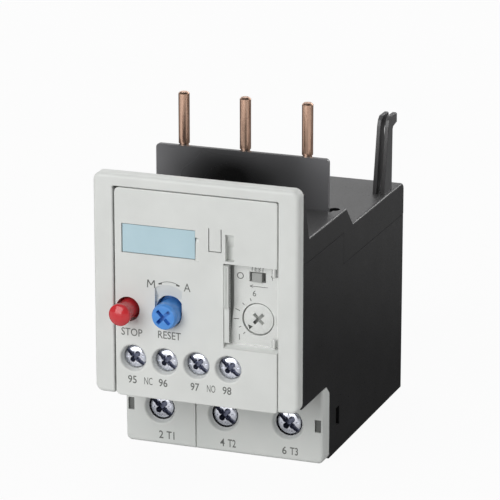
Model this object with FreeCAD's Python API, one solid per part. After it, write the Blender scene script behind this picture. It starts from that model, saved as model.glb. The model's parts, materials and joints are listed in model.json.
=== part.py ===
"""Three-pole thermal overload relay, built as an assembly of separate pieces (millimetres).

Bench frame used while modelling: X runs across the three poles, 0 in the middle; Y runs back
from the front face of the bezel frame, which is Y = 0; Z runs up from the flat bottom, Z = 0.
save() moves every piece back by CENTRE_Y, so that the exported origin is the middle of the
bounding box's bottom.
"""
import FreeCAD, Part
import math
import os

V = FreeCAD.Vector
os.makedirs("parts", exist_ok=True)

# ---------------------------------------------------------------- driving dimensions
WIDTH = 45.0                 # over the bezel frame: the standard 45 mm device width
BODY_HALF = 22.3             # half width of the black body
BODY_BACK = 70.4             # rear face of the body
WALL = 1.3                   # side walls of the body
RUN = 0.05                   # radial running clearance of shafts
SEAT = 0.02                  # clearance of pieces that are pressed or snapped in

FRAME_TOP = 64.0
FRAME_BOTTOM = 16.4
FRAME_DEEP = 3.0
OPENING_HALF = 18.15         # opening of the bezel frame that the panel fills
OPENING_TOP = 61.4
PANEL_FRONT = 0.3            # panel stands this far behind the bezel's face
PANEL_GAP = 0.25

NOSE_BOTTOM = 16.7           # underside of the front part, above the main terminals
SHROUD_FRONT = 15.9
SHROUD_BACK = 20.2
STEP_TOP = 52.4              # top of the front step, round the barrier and the pins
REAR_TOP = 47.9
SEAM_FRONT = 47.5            # seam between base and top cover, front part
SEAM_REAR = 40.7             # the same, rear part
SEAM_Y = 29.15               # where the seam jumps down
SEAM_GAP = 0.1

NOSE_FLOOR = 17.9            # floor and ceiling of the auxiliary terminal bays
NOSE_SHELF = 27.3
MECHANISM_FLOOR = 28.5       # room for buttons, contacts and release lever
MECHANISM_BACK = 26.5
SLIDER_FLOOR = 32.5          # room for the slider bars, above the heater chambers
REAR_ROOM_FRONT = 32.5
REAR_ROOM_BACK = 68.9
BOTTOM = 1.5                 # thickness of the bottom wall
BAY_TOP = 15.2               # ceiling of the main terminal bays
ABOVE = 60.0                 # height that any cut open to the top runs up to

POLE_PITCH = 14.5            # main screws, busbars and heaters
POLES = (-POLE_PITCH, 0.0, POLE_PITCH)
CHAMBER_HALF = 6.5
PIN_PITCH = 13.9             # connection pins towards the contactor
PIN_Y = 29.6
PIN_R = 1.2                  # free end of a pin
PIN_ROOT_R = 1.0             # thinner root of a pin, held in the cover
PIN_NECK = (62.9, 63.65)     # groove that marks how far a pin goes into its terminal
PIN_TOP = 74.8
HOOK_X = (18.8, 21.6)        # mounting hook, at the right of the pins

MAIN_Z = 8.2                 # main terminal screws
AUX_PITCH = 7.04             # auxiliary terminal screws
AUX_CENTRE_X = -3.4
AUX_Z = 24.5
AUX_NAMES = ("95", "96", "97", "98")
AUX_X = [AUX_CENTRE_X + (i - 1.5) * AUX_PITCH for i in range(4)]

STOP_X, STOP_Z = -15.05, 35.15
STOP_FRONT = -5.2            # tip of the stop button's dome, the foremost point of the relay
STOP_HOLE_R = 2.65
RESET_X, RESET_Z = -6.0, 35.1
RESET_R = 2.8
RESET_HOLE_R = 2.98
DIAL_X, DIAL_Z = 13.2, 35.6
DIAL_R = 3.35
TEST_X, TEST_Z = 13.1, 44.65
BRACKET_Y = 14.0             # plate that carries the shafts of buttons and dial
BRACKET_THICK = 1.2

WINDOW = (6.15, 17.9, 29.9, 47.2)   # recess of the setting scale: X from, X to, Z from, Z to
SCALE_FRONT = 1.9
LABEL = (-16.1, -0.1, 47.5, 53.45)  # label: X from, X to, Z from, Z to
LABEL_FRONT, LABEL_BACK = 0.42, 1.1
HINGE_X, HINGE_Y = 17.0, 1.0       # hinge line of the clear cover
HINGE_PIN_R = 0.4
LID_LEFT = 7.4
LID_FRONT, LID_BACK = 0.45, 1.15
LID_BOTTOM, LID_TOP = WINDOW[2] + 0.35, WINDOW[3] - 0.3

SLIDER_Z = 33.2              # underside of the lower slider bar
LEVER_X, LEVER_Y = 18.0, 36.0      # pivot of the trip lever
CRANK_X, CRANK_Y = 8.0, 22.0       # pivot of the release lever
BIMETAL_Y = 50.0
BIMETAL_HALF = 3.0

CENTRE_Y = (BODY_BACK + STOP_FRONT) / 2.0


# ---------------------------------------------------------------- small helpers
def box(x0, x1, y0, y1, z0, z1):
    """Box between two corners."""
    return Part.makeBox(x1 - x0, y1 - y0, z1 - z0, V(x0, y0, z0))


def rod_y(r, x, z, y0, y1):
    """Cylinder along Y, from y0 to y1."""
    return Part.makeCylinder(r, y1 - y0, V(x, y0, z), V(0, 1, 0))


def cone_y(r0, r1, x, z, y0, y1):
    """Cone along Y: radius r0 at y0, r1 at y1."""
    return Part.makeCone(r0, r1, y1 - y0, V(x, y0, z), V(0, 1, 0))


def rod_z(r, x, y, z0, z1):
    """Cylinder along Z, from z0 to z1."""
    return Part.makeCylinder(r, z1 - z0, V(x, y, z0), V(0, 0, 1))


def join(first, *others):
    """One solid out of several that touch or overlap."""
    return first.fuse(list(others)).removeSplitter()


def side_profile(points, x0, x1):
    """Prism along X whose side outline is a list of (Y, Z) points."""
    corners = [V(x0, y, z) for y, z in points]
    face = Part.Face(Part.makePolygon(corners + corners[:1]))
    return face.extrude(V(x1 - x0, 0, 0))


def plan_profile(points, z0, z1):
    """Prism along Z whose plan outline is a list of (X, Y) points."""
    corners = [V(x, y, z0) for x, y in points]
    face = Part.Face(Part.makePolygon(corners + corners[:1]))
    return face.extrude(V(0, 0, z1 - z0))


def edges_at(shape, keep):
    """Edges whose middle point passes the test."""
    return [e for e in shape.Edges if keep(e.CenterOfMass, e)]


def along(edge, axis):
    """True if the edge is a straight one parallel to an axis, 0 X, 1 Y, 2 Z."""
    if edge.Curve.TypeId != "Part::GeomLine":
        return False
    direction = edge.Vertexes[1].Point - edge.Vertexes[0].Point
    return abs(direction[axis]) > 0.999 * direction.Length


def near(a, b):
    """True if two lengths agree."""
    return abs(a - b) < 0.01


def round_edges(shape, radius, keep):
    """Fillet the edges that pass the test."""
    return shape.makeFillet(radius, edges_at(shape, keep))


def save(node, shape):
    """Write one piece, moved into the exported frame."""
    moved = shape.copy()
    moved.translate(V(0, -CENTRE_Y, 0))
    solids = moved.Solids
    if not solids or not moved.isValid():
        raise ValueError(node + " is not a valid solid")
    moved.exportStep("parts/" + node + ".step")
    size = moved.BoundBox
    print("%-22s %2d solid %9.1f mm3   %6.2f %6.2f %6.2f mm" % (
        node, len(solids), moved.Volume, size.XLength, size.YLength, size.ZLength))
    return shape


# ---------------------------------------------------------------- body shells
def housing_base():
    """Black moulded base: nose with the trip mechanism, three pole chambers, terminal bays."""
    seam_front = SEAM_FRONT - SEAM_GAP
    seam_rear = SEAM_REAR - SEAM_GAP
    outline = [(FRAME_DEEP, NOSE_BOTTOM), (18.3, NOSE_BOTTOM), (SHROUD_BACK + 0.1, 14.8),
               (SHROUD_BACK + 0.1, 0), (BODY_BACK, 0), (BODY_BACK, seam_rear),
               (SEAM_Y - SEAM_GAP, seam_rear), (SEAM_Y - SEAM_GAP, seam_front),
               (FRAME_DEEP, seam_front)]
    base = side_profile(outline, -BODY_HALF, BODY_HALF)
    base = round_edges(base, 0.6, lambda c, e: near(c.y, BODY_BACK) and (
        along(e, 2) or near(c.z, 0)))
    inner = BODY_HALF - WALL
    back = MECHANISM_BACK
    cuts = [box(-inner, inner, 1, back, MECHANISM_FLOOR, ABOVE),
            box(11.2, inner, 1, back, NOSE_FLOOR, 40),        # spare space right of the terminals
            box(-inner, 10.1, 13.6, back, NOSE_FLOOR, NOSE_SHELF),      # and behind them
            box(-inner, inner, 31.0, REAR_ROOM_BACK, SLIDER_FLOOR, ABOVE),
            box(-inner, inner, 28.0, 31.0, 39.0, ABOVE)]
    for x in POLES:
        left, right = x - CHAMBER_HALF, x + CHAMBER_HALF
        cuts.append(box(left, right, 1, 31.0, BOTTOM, BAY_TOP))         # main terminal bay
        cuts.append(box(x - 5.4, x + 5.4, 1, 25.1, -1, 2))    # conductor entry from below
        cuts.append(box(left, right, REAR_ROOM_FRONT, REAR_ROOM_BACK, BOTTOM, ABOVE))   # heater
        cuts.append(box(left, right, 28.0, 33.0, NOSE_FLOOR, ABOVE))    # connection pin
        cuts.append(box(x - 3.2, x + 3.2, 30.5, 33.0, BOTTOM, 3.4))     # busbar passes here
    for x in AUX_X:
        cuts.append(box(x - 2.95, x + 2.95, 1, 12.6, NOSE_FLOOR, NOSE_SHELF))   # terminal bay
        cuts.append(box(x - 2.8, x + 2.8, 4.2, 8.4, 10, 20))       # conductor entry from below
        cuts.append(box(x - 1.6, x + 1.6, 8.3, 9.5, 25, 30))       # terminal strip passes here
    cuts.append(box(14.0, 19.4, 26.0, 28.5, 33.3, 38.4))      # trip lever passes here
    cuts.append(rod_z(1.0 + SEAT, CRANK_X, CRANK_Y, 27.6, 30))
    for side in (-1, 1):                                      # gripping pockets in the sides
        face = side * BODY_HALF
        cuts.append(box(min(face, face - side * 0.8), max(face, face - side * 0.8),
                        24.8, 27.0, 5.6, 9.8))
    return base.cut(cuts)


def top_cover():
    """Black cover: sloped block behind the bezel, front step, 45 degree drop and rear top."""
    outline = [(FRAME_DEEP, SEAM_FRONT), (FRAME_DEEP, 62.4), (4.4, 62.4), (7.5, STEP_TOP),
               (30.9, STEP_TOP), (35.4, REAR_TOP), (BODY_BACK, REAR_TOP),
               (BODY_BACK, SEAM_REAR), (SEAM_Y, SEAM_REAR), (SEAM_Y, SEAM_FRONT)]
    cover = side_profile(outline, -BODY_HALF, BODY_HALF)
    cover = round_edges(cover, 1.6, lambda c, e: near(c.y, BODY_BACK) and near(c.z, REAR_TOP))
    cover = round_edges(cover, 0.45, lambda c, e: near(abs(c.x), BODY_HALF) and c.y > 4.2
                        and c.z > SEAM_REAR + 1 and not near(c.z, SEAM_FRONT)
                        and not near(c.y, SEAM_Y))
    inner = BODY_HALF - WALL
    roof = 1.5
    cuts = [box(-inner, inner, 4.6, 26.0, 40, STEP_TOP - roof),
            box(-inner, inner, 32.0, REAR_ROOM_BACK, 40, REAR_TOP - roof)]
    for x in (-PIN_PITCH, 0.0, PIN_PITCH):
        cuts.append(rod_z(PIN_ROOT_R + SEAT, x, PIN_Y, 30, 60))
    slot_end = 20.2
    cuts.append(box(-slot_end, slot_end, 27.0, 28.3, 48.6, ABOVE))     # slot of the barrier
    for side in (-1, 1):                                      # its wider round ends
        cuts.append(rod_z(1.15, side * slot_end, 29.1, STEP_TOP - 1.0, ABOVE))
    cuts.append(box(HOOK_X[0] - SEAT, HOOK_X[1] + SEAT, 58.4 - SEAT, 63.5 + SEAT, 46.8, ABOVE))
    cover = cover.cut(cuts)
    boss = rod_z(2.3, LEVER_X, LEVER_Y, 38.6, REAR_TOP - 1.0)     # carries the trip lever's pin
    cover = join(cover, boss)
    return cover.cut(rod_z(1.0 + SEAT, LEVER_X, LEVER_Y, 30, 46.0))


def front_frame():
    """Light grey bezel: a rounded frame that is open at the bottom."""
    half = WIDTH / 2
    plate = box(-half, half, 0, FRAME_DEEP, FRAME_BOTTOM, FRAME_TOP)
    plate = round_edges(plate, 1.7, lambda c, e: along(e, 1))
    opening = box(-OPENING_HALF, OPENING_HALF, -1, 4, 0, OPENING_TOP)
    opening = round_edges(opening, 0.3, lambda c, e: along(e, 1) and c.z > 30)
    plate = plate.cut(opening)
    plate = round_edges(plate, 0.85, lambda c, e: near(c.y, 0) and (
        abs(c.x) > OPENING_HALF + 3.5 or c.z > OPENING_TOP + 1.5))
    return round_edges(plate, 0.3, lambda c, e: near(c.y, 0) and (
        near(abs(c.x), OPENING_HALF) or near(c.z, OPENING_TOP)))


def front_panel():
    """Light grey panel with the holes for buttons, screws, label and setting window."""
    half = OPENING_HALF - PANEL_GAP
    bottom = FRAME_BOTTOM - 0.3
    panel = box(-half, half, PANEL_FRONT, FRAME_DEEP, bottom, OPENING_TOP - PANEL_GAP)
    panel = round_edges(panel, 1.1, lambda c, e: along(e, 1) and c.x < 0)
    panel = round_edges(panel, 0.55, lambda c, e: along(e, 1) and c.x > 0)
    panel = round_edges(panel, 0.25, lambda c, e: near(c.y, PANEL_FRONT))
    for x in AUX_X:
        panel = panel.cut(screw_funnel(x, AUX_Z, PANEL_FRONT, 2.9, 1.5, 2.55, 4))
    panel = panel.cut(rod_y(STOP_HOLE_R, STOP_X, STOP_Z, -1, 4))
    for opening in (reset_opening(), window_opening(), label_pocket()):
        panel = panel.cut(opening)
    slit = 0.2
    cuts = [box(2.9, 2.9 + slit, -1, 4, 49.4, 54.4), box(5.6, 5.6 + slit, -1, 4, 49.4, 54.4),
            box(2.9, 5.8, -1, 4, 49.4, 49.4 + slit)]
    pocket = [(-1, 47.75), (1.9, 47.75), (1.9, 50.5), (0.9, 53.4), (-1, 53.4)]
    cuts.append(side_profile(pocket, 6.6, 8.5))
    return panel.cut(cuts)


def screw_funnel(x, z, y_face, r_face, y_throat, r_throat, y_end):
    """Cutter for a screw hole: rounded rim, funnel down to the throat, then a plain hole."""
    ahead = 0.6
    rim = 0.32                   # width of the rounding, on the face and down the funnel
    outward = V(1, 0, 0)
    corner = V(r_face, y_face, 0)
    throat = V(r_throat, y_throat, 0)
    inward = (throat - corner).normalize()
    half_angle = outward.getAngle(inward) / 2
    reach = rim * (1 - math.sin(half_angle)) / math.cos(half_angle)
    middle = corner + (outward + inward).normalize() * reach
    start = corner + outward * rim
    end = corner + inward * rim
    lip = Part.Arc(start, middle, end).toShape()
    rest = Part.makePolygon([end, throat, V(r_throat, y_end, 0), V(0, y_end, 0),
                             V(0, y_face - ahead, 0), V(start.x, y_face - ahead, 0), start])
    profile = Part.Face(Part.Wire([lip] + rest.Edges))
    cutter = profile.revolve(V(0, 0, 0), V(0, 1, 0), 360)
    cutter.translate(V(x, 0, z))
    return cutter


def arch_face(top, rise, y):
    """Arch-shaped outline of the reset opening: round bottom, straight sides, bowed top."""
    half = RESET_HOLE_R
    left, right = RESET_X - half, RESET_X + half
    points = [V(left, y, RESET_Z), V(left, y, top - rise), V(RESET_X, y, top),
              V(right, y, top - rise), V(right, y, RESET_Z), V(RESET_X, y, RESET_Z - half)]
    edges = [Part.LineSegment(points[0], points[1]).toShape(),
             Part.Arc(points[1], points[2], points[3]).toShape(),
             Part.LineSegment(points[3], points[4]).toShape(),
             Part.Arc(points[4], points[5], points[0]).toShape()]
    return Part.Face(Part.Wire(edges))


def reset_opening():
    """Cutter for the reset button's hole, with the shallow ramp that leads into it from above."""
    hole_top = RESET_Z + 0.75
    through = join(rod_y(RESET_HOLE_R, RESET_X, RESET_Z, -1, 4),
                   rod_y(RESET_HOLE_R, RESET_X, hole_top, -1, 4),
                   box(RESET_X - RESET_HOLE_R, RESET_X + RESET_HOLE_R, -1, 4, RESET_Z, hole_top))
    ramp_top = 41.3
    ramp_deep = PANEL_FRONT + 0.9
    slope = side_profile([(-1, ramp_top + 1), (PANEL_FRONT, ramp_top), (ramp_deep, 38.3),
                          (ramp_deep, hole_top), (-1, hole_top)], RESET_X - 4, RESET_X + 4)
    ramp = arch_face(ramp_top, 1.0, -1).extrude(V(0, 5, 0)).common(slope)
    return join(through, ramp)


def window_opening():
    """Cutter for the setting window, with a sloped sill along its lower edge."""
    x0, x1, z0, z1 = WINDOW
    hole = box(x0, x1 + 1, -1, 4, z0, z1)
    sill = side_profile([(-1, z0 - 0.9), (PANEL_FRONT, z0 - 0.9), (SCALE_FRONT, z0),
                         (SCALE_FRONT, z0 + 1), (-1, z0 + 1)], x0, x1 + 1)
    return join(hole, sill)


def label_pocket():
    """Cutter for the label's bed and the pry notch beside it."""
    bed = box(LABEL[0] - 0.22, LABEL[1] + 0.1, -1, LABEL_BACK, LABEL[2] - 0.15, LABEL[3] + 0.15)
    notch = side_profile([(-1, 52.1), (LABEL_BACK, 52.1), (PANEL_FRONT + 0.3, 51.0),
                          (PANEL_FRONT + 0.15, 47.1), (-1, 47.1)], LABEL[1], LABEL[1] + 0.9)
    return join(bed, notch)


def terminal_shroud():
    """Light grey shroud over the main terminals, with three screw holes."""
    half = BODY_HALF + 0.1
    lean = 0.35                  # the face stands this much further back at the bottom
    top = NOSE_BOTTOM - 0.1
    outline = [(SHROUD_FRONT + lean, 0), (SHROUD_FRONT, top), (18.3, top),
               (SHROUD_BACK, 14.8), (SHROUD_BACK, 0)]
    shroud = side_profile(outline, -half, half)
    shroud = round_edges(shroud, 1.2, lambda c, e: along(e, 1) and near(c.z, 0))
    shroud = round_edges(shroud, 0.7, lambda c, e: near(abs(c.x), half) and c.y < 16.2)
    slope = lean / top
    face_y = SHROUD_FRONT + lean - MAIN_Z * slope
    cuts = []
    for x in POLES:
        cuts.append(box(x - CHAMBER_HALF, x + CHAMBER_HALF, 17.3, 21, BOTTOM, BAY_TOP))
        funnel = screw_funnel(x, MAIN_Z, face_y, 3.5, 17.2, 2.95, 18)
        funnel.rotate(V(x, face_y, MAIN_Z), V(1, 0, 0), math.degrees(math.atan(slope)))
        shroud = shroud.cut(funnel)
    cuts.append(box(-6.4, -6.05, 10, SHROUD_FRONT + 0.7, -1, 20))
    for x0 in (-21.8, 20.6):
        cuts.append(box(x0, x0 + 1.4, 10, 17.2, 7.1, 9.9))
    return shroud.cut(cuts)


def phase_barrier():
    """Thin black plate that stands in the slot of the cover, in front of the pins."""
    plate = box(-19.4, 19.4, 27.2, 28.2, 48.7, 63.6)
    return round_edges(plate, 0.8, lambda c, e: along(e, 1) and c.z > 60)


def mounting_hook():
    """Twin-legged black hook that snaps into the contactor, on a foot in the cover."""
    outline = [(58.4, 46.9), (58.4, REAR_TOP), (61.1, 62.6), (61.7, 64.0), (62.7, 64.7),
               (66.2, 64.7), (66.6, 64.3), (66.6, 62.5), (64.1, 62.1), (63.7, 61.5),
               (63.5, REAR_TOP), (63.5, 46.9)]
    hook = side_profile(outline, *HOOK_X)
    hook = round_edges(hook, 0.6, lambda c, e: along(e, 0) and c.z > 62.3 and c.y < 63)
    gap = box(19.7, 20.6, 50, 70, REAR_TOP, 70)
    hook = hook.cut(gap)
    return round_edges(hook, 0.2, lambda c, e: not along(e, 0) and c.z > REAR_TOP + 2
                       and c.y < 63.2)


def mechanism_bracket():
    """Plate across the nose that carries the rear ends of button and dial shafts."""
    inner = BODY_HALF - WALL - SEAT
    back = BRACKET_Y + BRACKET_THICK
    plate = box(-inner, inner, BRACKET_Y, back, MECHANISM_FLOOR + SEAT, 50.8)
    cuts = [rod_y(1.2 + RUN, STOP_X, STOP_Z, 10, 20),
            rod_y(2.2 + RUN, RESET_X, RESET_Z, 10, 20),
            rod_y(1.5 + RUN, DIAL_X, DIAL_Z, 10, 20),
            box(-4.9, -1.9, 10, 20, 28, 30.6)]
    return plate.cut(cuts)


# ---------------------------------------------------------------- front fittings
def scale_plate():
    """Light grey plate at the bottom of the window: dial hole, test slot and slide rails.

    Its left edge leaves a gap beside the lid's grip, which narrows towards the bottom.
    """
    right, z0, z1 = WINDOW[1], WINDOW[2] + SEAT, WINDOW[3] - SEAT
    corners = [(6.9, z0), (right, z0), (right, z1), (7.95, z1), (7.95, 38.2)]
    points = [V(x, SCALE_FRONT, z) for x, z in corners]
    face = Part.Face(Part.makePolygon(points + points[:1]))
    plate = face.extrude(V(0, FRAME_DEEP - SCALE_FRONT, 0))
    cuts = [rod_y(DIAL_R + 0.15, DIAL_X, DIAL_Z, 0, 4),
            box(TEST_X - 1.8, TEST_X + 1.8, 0, 4, TEST_Z - 1.05, TEST_Z + 1.05)]
    plate = plate.cut(cuts)
    rails = []
    for side in (-1, 1):
        z = TEST_Z + side * 2.2
        rails.append(box(9.4, 16.8, FRAME_DEEP, 5.0, z - 0.35, z + 0.35))
        lip = TEST_Z + side * 1.9
        rails.append(box(9.4, 16.8, 4.4, 5.0, lip - 0.5, lip + 0.5))
    return join(plate, *rails)


def lid_knuckles():
    """Height ranges of the two hinge knuckles, at the bottom and the top of the lid."""
    return (LID_BOTTOM, LID_BOTTOM + 1.6), (LID_TOP - 1.6, LID_TOP)


def clear_cover():
    """Clear lid over the setting scale, with a hinge knuckle at either end."""
    lid = box(LID_LEFT, HINGE_X + 0.6, LID_FRONT, LID_BACK, LID_BOTTOM, LID_TOP)
    for low, high in lid_knuckles():
        lid = join(lid, rod_z(0.75, HINGE_X, HINGE_Y, low, high))
    for low, high in lid_knuckles():
        lid = lid.cut(rod_z(HINGE_PIN_R + RUN, HINGE_X, HINGE_Y, low - 0.1, high + 0.1))
    return lid


def cover_grip():
    """Light grey rib along the lid's free edge, with a raised lug for a fingernail and seal."""
    left = WINDOW[0] + 0.1
    strip = box(left, LID_LEFT, 0.4, 1.5, LID_BOTTOM, LID_TOP)
    lug = box(left, LID_LEFT + 0.1, -0.45, LID_FRONT, 38.0, LID_TOP)
    lug = round_edges(lug, 0.3, lambda c, e: near(c.y, -0.45))
    return join(strip, lug)


def cover_hinge_pins():
    """Short pins on which the lid turns, moulded to the window's lower and upper edge."""
    lower, upper = lid_knuckles()
    return Part.makeCompound([
        rod_z(HINGE_PIN_R, HINGE_X, HINGE_Y, WINDOW[2] + SEAT, lower[1]),
        rod_z(HINGE_PIN_R, HINGE_X, HINGE_Y, upper[0], WINDOW[3] - SEAT)])


def current_dial():
    """Current-setting dial with a cross slot, a pointer notch and its retaining collar."""
    dial = rod_y(DIAL_R, DIAL_X, DIAL_Z, 1.3, 3.1)
    dial = round_edges(dial, 0.2, lambda c, e: near(c.y, 1.3))
    collar = rod_y(DIAL_R + 0.6, DIAL_X, DIAL_Z, 3.1, 4.0)
    dial = join(dial, collar)
    cuts = []
    for angle in (-45, 45):
        bar = box(-1.5, 1.5, 1.0, 2.3, -0.35, 0.35)
        bar.rotate(V(0, 0, 0), V(0, 1, 0), angle)
        bar.translate(V(DIAL_X, 0, DIAL_Z))
        cuts.append(bar)
    pointer = box(-0.3, 0.3, 1.0, 1.8, -4.0, -2.3)
    pointer.rotate(V(0, 0, 0), V(0, 1, 0), 45)
    pointer.translate(V(DIAL_X, 0, DIAL_Z))
    cuts.append(pointer)
    return dial.cut(cuts)


def dial_cam():
    """Spindle behind the dial with the eccentric cam that sets the trip distance."""
    spindle = rod_y(1.5, DIAL_X, DIAL_Z, 4.0, 16.4)
    cam = rod_y(2.8, DIAL_X + 0.8, DIAL_Z, 9.5, 11.5)
    return join(spindle, cam)


def stop_button():
    """Red button: domed cap on a neck, retaining flange and guide shaft."""
    cap_r = 2.35
    rise = 0.9
    rim = STOP_FRONT + rise
    dome_r = (cap_r ** 2 + rise ** 2) / (2 * rise)
    ball = Part.makeSphere(dome_r, V(STOP_X, STOP_FRONT + dome_r, STOP_Z))
    dome = ball.common(rod_y(cap_r, STOP_X, STOP_Z, STOP_FRONT - 1, rim))
    cap = rod_y(cap_r, STOP_X, STOP_Z, rim, rim + 0.9)
    neck = rod_y(2.05, STOP_X, STOP_Z, rim + 0.9, 3.2)
    flange = rod_y(3.2, STOP_X, STOP_Z, 3.2, 4.2)
    shaft = rod_y(1.2, STOP_X, STOP_Z, 4.2, 16.0)
    return join(cap, dome, neck, flange, shaft)


def reset_button():
    """Blue button with a deep cross recess, a retaining flange and a keyed shaft."""
    front = -2.6
    body = rod_y(RESET_R, RESET_X, RESET_Z, front + 0.7, 3.2)
    nose = cone_y(RESET_R - 0.35, RESET_R, RESET_X, RESET_Z, front, front + 0.7)
    flange = rod_y(3.3, RESET_X, RESET_Z, 3.2, 4.2)
    shaft = rod_y(1.2, RESET_X, RESET_Z, 4.2, 18.5)
    key = box(RESET_X - 0.3, RESET_X + 0.3, 11.7, 18.5, RESET_Z + 0.8, RESET_Z + 1.65)
    button = join(body, nose, flange, shaft, key)
    for angle in (-45, 45):
        bar = box(-1.9, 1.9, -5, front + 1.4, -0.4, 0.4)
        bar.rotate(V(0, 0, 0), V(0, 1, 0), angle)
        bar.translate(V(RESET_X, 0, RESET_Z))
        button = button.cut(bar)
    return button


def reset_ring():
    """Ring that turns the reset button between manual and automatic; keyed to its shaft."""
    ring = join(rod_y(3.1, RESET_X, RESET_Z, 11.6, BRACKET_Y - 0.1),
                rod_y(2.2, RESET_X, RESET_Z, BRACKET_Y - 0.1, 16.6))
    bore = rod_y(1.2 + RUN, RESET_X, RESET_Z, 10, 20)
    keyway = box(RESET_X - 0.36, RESET_X + 0.36, 10, 20, RESET_Z, RESET_Z + 1.75)
    return ring.cut([bore, keyway])


def coil_spring(x, z, y0, y1, turns):
    """Compression spring along Y, of round wire."""
    wire_r = 0.25
    coil_r = 1.75
    length = y1 - y0 - 2 * wire_r - 0.04
    helix = Part.makeHelix(length / turns, length, coil_r)
    start = V(coil_r, 0, 0)
    section = Part.Wire(Part.makeCircle(wire_r, start, V(0, 1, 0)))
    spring = Part.Wire(helix).makePipeShell([section], True, True)
    spring.rotate(V(0, 0, 0), V(1, 0, 0), -90)
    spring.translate(V(x, y0 + wire_r + 0.02, z))
    return spring


def test_slide():
    """Small light grey slide that trips the relay by hand and shows its state."""
    knob = box(TEST_X - 1.05, TEST_X + 1.05, 1.35, 3.2, TEST_Z - 0.95, TEST_Z + 0.95)
    plate = box(TEST_X - 2.6, TEST_X + 2.6, 3.2, 4.2, TEST_Z - 1.75, TEST_Z + 1.75)
    return join(knob, plate)


# ---------------------------------------------------------------- terminals
def screw(x, z, head_front, head_r, head_deep, shank_r, tip):
    """Combination screw along Y: head with slot and cross recess, plain shank."""
    head = rod_y(head_r, x, z, head_front, head_front + head_deep)
    head = round_edges(head, 0.25, lambda c, e: near(c.y, head_front))
    shank = rod_y(shank_r, x, z, head_front + head_deep, tip)
    body = join(head, shank)
    cut_deep = head_deep * 0.55
    slot = box(-head_r - 1, head_r + 1, -1, cut_deep * 0.7, -head_r * 0.12, head_r * 0.12)
    arm_half = head_r * 0.62
    arm_thin = head_r * 0.2
    recess = join(box(-arm_half, arm_half, -1, cut_deep, -arm_thin, arm_thin),
                  box(-arm_thin, arm_thin, -1, cut_deep, -arm_half, arm_half))
    for cutter in (slot, recess):
        cutter.rotate(V(0, 0, 0), V(0, 1, 0), 40)
        cutter.translate(V(x, head_front, z))
        body = body.cut(cutter)
    return body


def main_terminals():
    """Screw, saddle clamp and busbar of each pole."""
    for number, x in enumerate(POLES, 1):
        main_screw = screw(x, MAIN_Z, 17.0, 2.67, 2.4, 1.9, 28.6)
        save("main_screw_%d" % number, main_screw)
        clamp = box(x - 5.2, x + 5.2, 19.45, 20.65, MAIN_Z - 4.4, MAIN_Z + 4.4)
        for side in (-1, 1):
            lip = x + side * 4.8
            clamp = clamp.fuse(box(lip - 0.4, lip + 0.4, 20.65, 21.5, MAIN_Z - 4.4, MAIN_Z + 4.4))
        clamp = clamp.removeSplitter().cut(rod_y(1.9 + RUN, x, MAIN_Z, 10, 30))
        save("main_clamp_%d" % number, clamp)
        save("load_busbar_%d" % number, load_busbar(x))


def load_busbar(x):
    """Copper bar: threaded plate in the terminal, leg to the rear, riser for the bimetal."""
    plate = box(x - 5.6, x + 5.6, 25.2, 26.7, 1.6, 14.4)
    leg = box(x - 3.0, x + 3.0, 26.0, 54.0, 1.6, 3.2)
    riser = box(x + 0.5, x + 1.7, BIMETAL_Y - BIMETAL_HALF, BIMETAL_Y + BIMETAL_HALF, 3.0, 9.0)
    bar = join(plate, leg, riser)
    return bar.cut(rod_y(1.9 + RUN, x, MAIN_Z, 20, 30))


def aux_terminals():
    """Screw, clamp washer and contact strip of each auxiliary terminal."""
    for name, x in zip(AUX_NAMES, AUX_X):
        save("aux_screw_" + name, screw(x, AUX_Z, 1.4, 2.38, 1.7, 1.4, 11.0))
        clamp = box(x - 2.6, x + 2.6, 3.15, 4.1, AUX_Z - 2.9, AUX_Z + 2.6)
        clamp = clamp.cut(rod_y(1.4 + RUN, x, AUX_Z, 0, 12))
        save("aux_clamp_" + name, clamp)
        plate = box(x - 2.7, x + 2.7, 8.45, 9.35, 18.2, 27.2)
        strip = box(x - 1.5, x + 1.5, 8.45, 9.35, 27.0, 31.9)
        strip = join(plate, strip).cut(rod_y(1.4 + RUN, x, AUX_Z, 0, 12))
        save("aux_contact_" + name, strip)


# ---------------------------------------------------------------- current path and bimetals
def connection_pin(x_pin, x_pole):
    """Copper pin towards the contactor, with a foot that runs back to the heater."""
    foot_z0, foot_z1 = 29.6, 31.2
    pin = rod_z(PIN_R, x_pin, PIN_Y, PIN_NECK[1], PIN_TOP)
    pin = pin.makeChamfer(0.35, edges_at(pin, lambda c, e: near(c.z, PIN_TOP)))
    stem = rod_z(PIN_R, x_pin, PIN_Y, STEP_TOP + SEAT, PIN_NECK[0])
    root = rod_z(PIN_ROOT_R, x_pin, PIN_Y, foot_z0, PIN_NECK[1] + 1.0)
    right = x_pole + 4.4
    foot = plan_profile([(x_pin - 1.0, PIN_Y), (x_pin + 1.0, PIN_Y), (right, 43.0), (right, 44.0),
                         (right - 1.8, 44.0)], foot_z0 + 0.1, foot_z1)
    tab = box(right - 1.0, right, 43.0, BIMETAL_Y + 1.0, foot_z0 + 0.1, foot_z1)
    return join(pin, stem, root, foot, tab)


def bimetal(x):
    """Bimetal strip of one pole, fixed at its foot and free at its top."""
    strip = box(x - 0.45, x + 0.45, BIMETAL_Y - BIMETAL_HALF, BIMETAL_Y + BIMETAL_HALF, 3.25, 38.0)
    return round_edges(strip, 0.8, lambda c, e: along(e, 0) and c.z > 30)


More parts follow.
